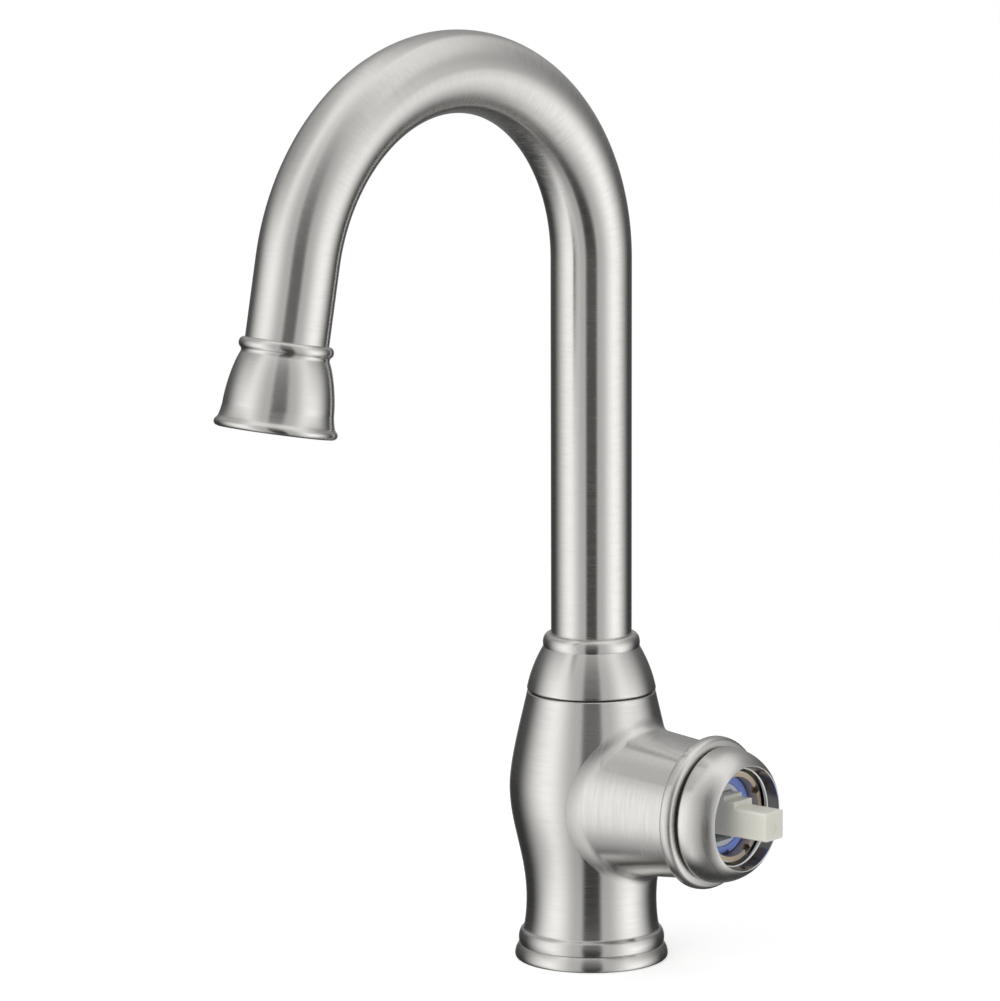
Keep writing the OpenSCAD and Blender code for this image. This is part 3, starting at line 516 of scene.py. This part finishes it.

# Valve cap: outside, thin mouth edge in a paler metal as a painted highlight, polished inside, thin lip with
# the same painted highlight, back
lip_x = CAP_END - CAP_LIP_DEPTH
mouth_out = (CAP_OPEN_R + 0.25, CAP_END)
mouth_in = (CAP_OPEN_R, CAP_END - 0.25)
lip_out = (CAP_LIP_R + 0.45, lip_x)
lip_in = (CAP_LIP_R, lip_x - 0.45)
nut_out = (NUT_R + 0.02, NUT_FACE - 0.5)
cap_outside = (
    [(BOSS_R + 0.05, CAP_BASE), (CAP_R - 0.6, CAP_BASE)]
    + quad((CAP_R - 0.6, CAP_BASE), (CAP_R, CAP_BASE), (CAP_R, CAP_BASE + 0.6), 4)
    + cubic((CAP_R, CAP_BASE + 0.6), (CAP_R - 0.1, CAP_BASE + 0.52 * CAP_H),
            (CAP_OPEN_R + 2.7, CAP_END - 1.5), mouth_out, 32))
mouth_edge = [mouth_out] + quad(mouth_out, (CAP_OPEN_R, CAP_END), mouth_in, 8)
cap_inside = [mouth_in] + quad(mouth_in, (CAP_OPEN_R - 0.2, CAP_END - 2), lip_out, 12)
lip_edge = [lip_out] + quad(lip_out, (CAP_LIP_R, lip_x), lip_in, 8)
cap_back = [lip_in, (CAP_LIP_R, lip_x - 1.2), (CAP_LIP_R + 1.2, lip_x - 2.2), (BOSS_R - 1.55, CAP_SHOULDER_X),
            (BOSS_R + 0.05, CAP_SHOULDER_X), (BOSS_R + 0.05, CAP_BASE)]
# A thin ring just outside the nut's chamfer, in the paler metal: a painted highlight
nut_rim = [nut_out] + quad(nut_out, (NUT_R + 0.02, NUT_FACE + 0.02), (NUT_R - 0.5, NUT_FACE + 0.02), 8)
cap = lathe("valve_cap_skin", cap_outside, ON_VALVE, "faucet_body", satin)
lathe("valve_cap_mouth", cap_inside, ON_VALVE, "faucet_body", polished)
lathe("valve_cap_lip", lip_edge, ON_VALVE, "faucet_body", painted_highlight_edge)
lathe("valve_cap_edge", mouth_edge, ON_VALVE, "faucet_body", painted_highlight_edge)
lathe("valve_cap_back", cap_back, ON_VALVE, "faucet_body", polished)
lathe("nut_edge", nut_rim, ON_VALVE, "faucet_body", painted_highlight_edge)
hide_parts("valve_cap")

# Spout collar
collar_crease = COLLAR_BASE + COLLAR_H
collar_top = collar_crease + COLLAR_BEAD_H
tube_foot = collar_top - SOCKET
bead_mid = collar_crease + 0.35 * COLLAR_BEAD_H
collar = lathe("spout_collar_skin", (
    [(SWIVEL_BORE_R, COLLAR_BASE), (COLLAR_R - 0.35, COLLAR_BASE)]
    + quad((COLLAR_R - 0.35, COLLAR_BASE), (COLLAR_R, COLLAR_BASE), (COLLAR_R, COLLAR_BASE + 0.6), 4)
    + quad((COLLAR_R, COLLAR_BASE + 0.6), (COLLAR_R - 1.55, COLLAR_BASE + 0.54 * COLLAR_H),
           (COLLAR_NECK_R, collar_crease), 36)
    + quad((COLLAR_NECK_R, collar_crease), (COLLAR_BEAD_R, collar_crease + 0.3), (COLLAR_BEAD_R, bead_mid), 8)
    + quad((COLLAR_BEAD_R, bead_mid), (COLLAR_BEAD_R - 0.2, collar_top - 0.2), (TUBE_R + 0.5, collar_top), 14)
    + [(TUBE_R + 0.05, collar_top - 0.3), (TUBE_R + 0.05, tube_foot), (SWIVEL_BORE_R, tube_foot)]),
    ON_BODY, "spout", nickel, closed=True)
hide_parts("spout_collar")

# Spout tube: rows along the riser, the arch and the leg, and points around
RISER_ROWS, ARCH_ROWS, LEG_ROWS = 30, 120, 8
TUBE_POINTS = 128


def tube_rows():
    """Places of the rows along the middle of the tube, and their lengths along it."""
    heights = np.linspace(tube_foot, ARCH_Z, RISER_ROWS)[:-1]
    places = [ON_SPOUT @ Matrix.Translation((0, 0, z)) for z in heights]
    lengths = list(heights)
    for i in range(ARCH_ROWS + 1):
        turn = ARCH_SWEEP * i / ARCH_ROWS
        places.append(ON_SPOUT @ Matrix.Translation((ARCH_R, 0, ARCH_Z)) @ Matrix.Rotation(turn, 4, "Y")
                      @ Matrix.Translation((-ARCH_R, 0, 0)))
        lengths.append(ARCH_Z + ARCH_R * turn)
    for d in np.linspace(0, LEG + SOCKET, LEG_ROWS)[1:]:
        places.append(ON_ARCH_END @ Matrix.Translation((-ARCH_R, 0, d)))
        lengths.append(ARCH_Z + ARCH_R * ARCH_SWEEP + d)
    return places, lengths


def tube():
    """The outside of the bent tube, as rings of points along its rows."""
    places, lengths = tube_rows()
    verts, uvs, faces = [], [], []
    for place, length in zip(places, lengths):
        for k in range(TUBE_POINTS + 1):
            turn = 2 * math.pi * k / TUBE_POINTS
            verts.append(place @ Vector((TUBE_R * math.cos(turn), TUBE_R * math.sin(turn), 0)))
            uvs.append((k / TUBE_POINTS, length))
    row = TUBE_POINTS + 1
    for i in range(len(places) - 1):
        for k in range(TUBE_POINTS):
            faces.append((i * row + k, i * row + k + 1, (i + 1) * row + k + 1, (i + 1) * row + k))
    ob = finish_mesh("spout_tube_skin", verts, faces, uvs, "spout", nickel)
    weld(ob)
    return ob


tube_skin = tube()
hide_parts("spout_tube")

# Outlet bell
low, flare, rim = BELL_H - 7.6, BELL_H - 3.5, BELL_H - 2.5
bead_side = (BELL_BEAD_R, BELL_BEAD_H / 2)
bead_end = (BELL_NECK_R + 0.25, 0.88 * BELL_BEAD_H)
neck = (BELL_NECK_R + 0.1, BELL_BEAD_H + 0.8)
mouth_z = BELL_H - BELL_MOUTH_DEPTH
bore_z = BELL_H - AERATOR_DEPTH
bell = lathe("outlet_bell_skin", (
    [(TUBE_R + 0.05, 0.4), (TUBE_R + 0.3, 0.2)]
    + quad((TUBE_R + 0.3, 0.2), (BELL_BEAD_R - 0.1, 0.4), bead_side, 12)
    + quad(bead_side, (BELL_BEAD_R, 0.75 * BELL_BEAD_H), bead_end, 8)
    + quad(bead_end, (BELL_NECK_R - 0.1, BELL_BEAD_H), neck, 6)
    + cubic(neck, (BELL_NECK_R + 2.1, BELL_BEAD_H + 4.8), (BELL_LOW_R - 0.15, low - 5.4),
            (BELL_LOW_R, low), 40)
    + quad((BELL_LOW_R, low), (BELL_LOW_R + 0.4, low + 2.7), (BELL_LOW_R + 0.9, flare), 8)
    + quad((BELL_LOW_R + 0.9, flare), (BELL_RIM_R - 0.85, flare + 0.5), (BELL_RIM_R - 0.35, rim), 6)
    + quad((BELL_RIM_R - 0.35, rim), (BELL_RIM_R + 0.3, rim + 0.9), (BELL_RIM_R - 0.25, BELL_H - 0.7), 8)
    + quad((BELL_RIM_R - 0.25, BELL_H - 0.7), (BELL_RIM_R - 0.55, BELL_H - 0.2),
           (BELL_RIM_R - 1.4, BELL_H), 6)
    + [(BELL_MOUTH_R, BELL_H), (BELL_MOUTH_R, mouth_z), (AERATOR_BORE_R, mouth_z), (AERATOR_BORE_R, bore_z),
       (BELL_BORE_R, bore_z)]),
    ON_OUTLET, "spout", nickel)
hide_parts("outlet_bell")

# Studio
scene = bpy.context.scene
scene.view_settings.view_transform = "Standard"
FLOOR_R = 0.6
FLOOR_GLOW = 0.42


def pale_floor():
    """A pale floor that glows for the camera alone, so that it shows white and keeps the shadow."""
    mat, nt, bsdf = new_material("floor")
    bsdf.inputs["Base Color"].default_value = (0.92, 0.92, 0.92, 1)
    bsdf.inputs["Roughness"].default_value = 0.9
    bsdf.inputs["Emission Color"].default_value = (1, 1, 1, 1)
    path = nt.nodes.new("ShaderNodeLightPath")
    glow = math_node(nt, "MULTIPLY", path.outputs["Is Camera Ray"], FLOOR_GLOW)
    nt.links.new(glow.outputs[0], bsdf.inputs["Emission Strength"])
    bpy.ops.mesh.primitive_circle_add(vertices=128, radius=FLOOR_R, fill_type="NGON", location=(0, 0, 0))
    floor = bpy.context.object
    floor.name = "floor"
    floor.data.materials.append(mat)
    floor.visible_glossy = False


def white_world():
    world = bpy.data.worlds.new("world")
    scene.world = world
    world.use_nodes = True
    background = world.node_tree.nodes["Background"]
    background.inputs["Color"].default_value = (1, 1, 1, 1)
    background.inputs["Strength"].default_value = 1.0


pale_floor()
white_world()

# Camera: its direction, the point in mm that it looks at, and its distance from that point in mm
AZ, EL, ROLL = math.radians(39.354), math.radians(10.218), math.radians(-0.159)
AIM_RIGHT = -31.550
AIM_UP = 161.664
DISTANCE = 2416.348
LENS = 251.51
CAMERA_SIDE = AZ - math.pi / 2


def camera():
    right = Vector((math.cos(AZ), math.sin(AZ), 0))
    back = Vector((math.sin(AZ) * math.cos(EL), -math.cos(AZ) * math.cos(EL), math.sin(EL)))
    up = back.cross(right)
    place = right * AIM_RIGHT + Vector((0, 0, AIM_UP)) + back * DISTANCE
    right_r = right * math.cos(ROLL) + up * math.sin(ROLL)
    up_r = up * math.cos(ROLL) - right * math.sin(ROLL)
    cam_data = bpy.data.cameras.new("camera")
    cam_data.lens = LENS
    cam_data.sensor_width = 36
    cam_data.sensor_fit = "AUTO"
    cam_data.clip_start = 0.05
    cam = bpy.data.objects.new("camera", cam_data)
    scene.collection.objects.link(cam)
    cam.matrix_world = Matrix((
        (right_r.x, up_r.x, back.x, place.x * MM),
        (right_r.y, up_r.y, back.y, place.y * MM),
        (right_r.z, up_r.z, back.z, place.z * MM),
        (0, 0, 0, 1)))
    scene.camera = cam


camera()

# Light tent. Degrees round from the camera's side where each part of it starts and ends
TENT_R = 2.0
TENT_COLS, TENT_ROWS = 360, 90
GAP_END = 11.5
FRONT_START, FRONT_END = 20, 26
PANEL_MIDDLE = 67
BEHIND_START, BEHIND_END = 130, 156
REAR_START = 170
# Elevation, then brightness: the gap at the camera, the front, the side panels, behind them, the rear
TENT = [(-90, 0.12, 0.12, 0.12, 0.12, 0.12),
        (-75, 0.12, 0.13, 0.18, 0.06, 0.05),
        (-55, 0.08, 0.47, 1.00, 0.04, 0.05),
        (-10, 0.03, 0.60, 1.30, 0.04, 0.25),
        (10, 0.17, 0.60, 1.30, 0.12, 0.35),
        (35, 0.20, 0.55, 1.05, 0.48, 0.34),
        (60, 0.60, 0.75, 1.05, 0.95, 0.55),
        (90, 1.10, 1.10, 1.10, 1.10, 1.10)]
# Cloths in the tent: degrees round to the right, elevations, and the share of light that they take.
# The last one is a pale card, which adds light.
CLOTHS = [((-150, -125, -88, -68), (-80, -64, -40, -22), 0.50),
          ((-142, -122, -80, -62), (22, 36, 56, 70), 0.38),
          ((55, 78, 135, 155), (8, 18, 40, 54), 0.32),
          ((55, 80, 112, 130), (-45, -32, -4, 4), -0.16)]


def eased(x, stops, values):
    """Goes smoothly from value to value between the stops."""
    i = min(max(int(np.searchsorted(stops, x, side="right")) - 1, 0), len(stops) - 2)
    t = min(max((x - stops[i]) / (stops[i + 1] - stops[i]), 0.0), 1.0)
    return values[i] + (values[i + 1] - values[i]) * t * t * (3 - 2 * t)


def row_level(off, row):
    """Brightness of one elevation of the tent, at degrees round from the camera's side."""
    _, gap, front, panel, behind, rear = row
    stops = (0, GAP_END, FRONT_START, FRONT_END, PANEL_MIDDLE, BEHIND_START, BEHIND_END, REAR_START, 180)
    return eased(off, stops, (gap, gap, front, front, panel, behind, behind, rear, rear))


def tent_level(signed, elevation):
    """Brightness of the tent in a direction, with its cloths."""
    levels = [row_level(abs(signed), row) for row in TENT]
    level = float(np.interp(elevation, [row[0] for row in TENT], levels))
    for spread, lifts, depth in CLOTHS:
        across = np.interp(signed, spread, (0, 1, 1, 0))
        along = np.interp(elevation, lifts, (0, 1, 1, 0))
        level *= 1 - depth * float(across * along)
    return level


def tent_material():
    """Emission by the mesh's own level, which isn't sampled as a lamp."""
    mat = bpy.data.materials.new("light_tent")
    mat.use_nodes = True
    mat.cycles.emission_sampling = "NONE"
    nt = mat.node_tree
    nt.nodes.clear()
    out = nt.nodes.new("ShaderNodeOutputMaterial")
    emit = nt.nodes.new("ShaderNodeEmission")
    level = nt.nodes.new("ShaderNodeAttribute")
    level.attribute_name = "level"
    nt.links.new(level.outputs["Fac"], emit.inputs["Strength"])
    nt.links.new(emit.outputs[0], out.inputs["Surface"])
    return mat


def tent():
    """A round light tent, with a dark gap at the camera, bright panels at the sides and darkness behind."""
    verts, faces, levels = [], [], []
    for i in range(TENT_ROWS + 1):
        elevation = -90 + 180 * i / TENT_ROWS
        lift = math.radians(elevation)
        for k in range(TENT_COLS):
            turn = 2 * math.pi * k / TENT_COLS
            verts.append((TENT_R * math.cos(lift) * math.cos(turn), TENT_R * math.cos(lift) * math.sin(turn),
                          TENT_R * math.sin(lift)))
            levels.append(tent_level((math.degrees(turn - CAMERA_SIDE) + 180) % 360 - 180, elevation))
    for i in range(TENT_ROWS):
        for k in range(TENT_COLS):
            m = (k + 1) % TENT_COLS
            faces.append((i * TENT_COLS + k, i * TENT_COLS + m,
                          (i + 1) * TENT_COLS + m, (i + 1) * TENT_COLS + k))
    me = bpy.data.meshes.new("light_tent")
    me.from_pydata(verts, [], faces)
    attr = me.attributes.new("level", "FLOAT", "POINT")
    attr.data.foreach_set("value", levels)
    me.materials.append(tent_material())
    ob = bpy.data.objects.new("light_tent", me)
    scene.collection.objects.link(ob)
    ob.visible_camera = False


tent()

# Side lamp: degrees left of the camera's side and up, and its distance and size in metres
LAMP_LEFT = math.radians(25)
LAMP_LIFT = math.radians(30)
LAMP_DISTANCE = 1.0
LAMP_SIZE = 0.7
LAMP_POWER = 3.0


def side_lamp():
    """A soft lamp at the front left for what isn't metal. The metal mirrors the tent alone."""
    turn = CAMERA_SIDE - LAMP_LEFT
    away = Vector((math.cos(turn) * math.cos(LAMP_LIFT), math.sin(turn) * math.cos(LAMP_LIFT),
                   math.sin(LAMP_LIFT)))
    lamp = bpy.data.lights.new("side_lamp", "AREA")
    lamp.shape = "DISK"
    lamp.size = LAMP_SIZE
    lamp.energy = LAMP_POWER
    ob = bpy.data.objects.new("side_lamp", lamp)
    place = Matrix.Translation(away * LAMP_DISTANCE + Vector((0, 0, VALVE_Z * MM)))
    ob.matrix_world = place @ away.to_track_quat("Z", "Y").to_matrix().to_4x4()
    scene.collection.objects.link(ob)
    ob.visible_camera = False
    ob.visible_glossy = False


side_lamp()
